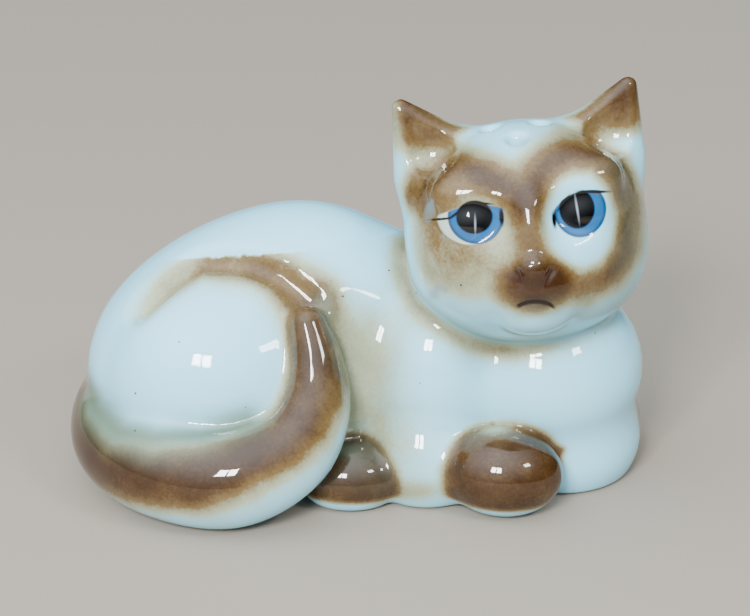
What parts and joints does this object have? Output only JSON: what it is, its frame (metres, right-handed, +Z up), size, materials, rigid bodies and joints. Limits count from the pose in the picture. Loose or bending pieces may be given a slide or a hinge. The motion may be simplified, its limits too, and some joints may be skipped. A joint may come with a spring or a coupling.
{
  "type": "ceramic cat figurine shaker",
  "caption": "Glazed ceramic figurine of a reclining cat with its head turned, cast hollow as a salt shaker, with pouring holes in the crown and a cork below.",
  "frame": {"origin": "bottom centre of the bounding box, on the plane that the foot rim rests on", "axes": "+Z up; the cat lies along X with its chest towards +X and its tail towards -X; its right side and its face look towards -Y"},
  "size_m": [0.0684, 0.0392, 0.0483],
  "materials": {
    "body_glaze": "glossy glaze",
    "head_glaze": "glossy glaze over painted brown",
    "ear_glaze": "glossy glaze over painted brown",
    "brown_glaze": "glossy glaze over painted dark brown",
    "cork": "pressed natural cork"
  },
  "bodies": {
    "figurine": {"torso_shell": "body_glaze", "head_shell": "head_glaze", "ear_left": "ear_glaze", "ear_right": "ear_glaze", "tail": "brown_glaze", "foreleg_right": "brown_glaze", "forepaw_left": "body_glaze", "hind_paw_right": "brown_glaze"},
    "stopper_body": {"stopper": "cork"}
  },
  "joints": [
    {"name": "stopper_slide", "type": "slide", "parent": "figurine", "child": "stopper_body", "axis": [0, 0, -1], "range_m": [0, 0.02]}
  ]
}
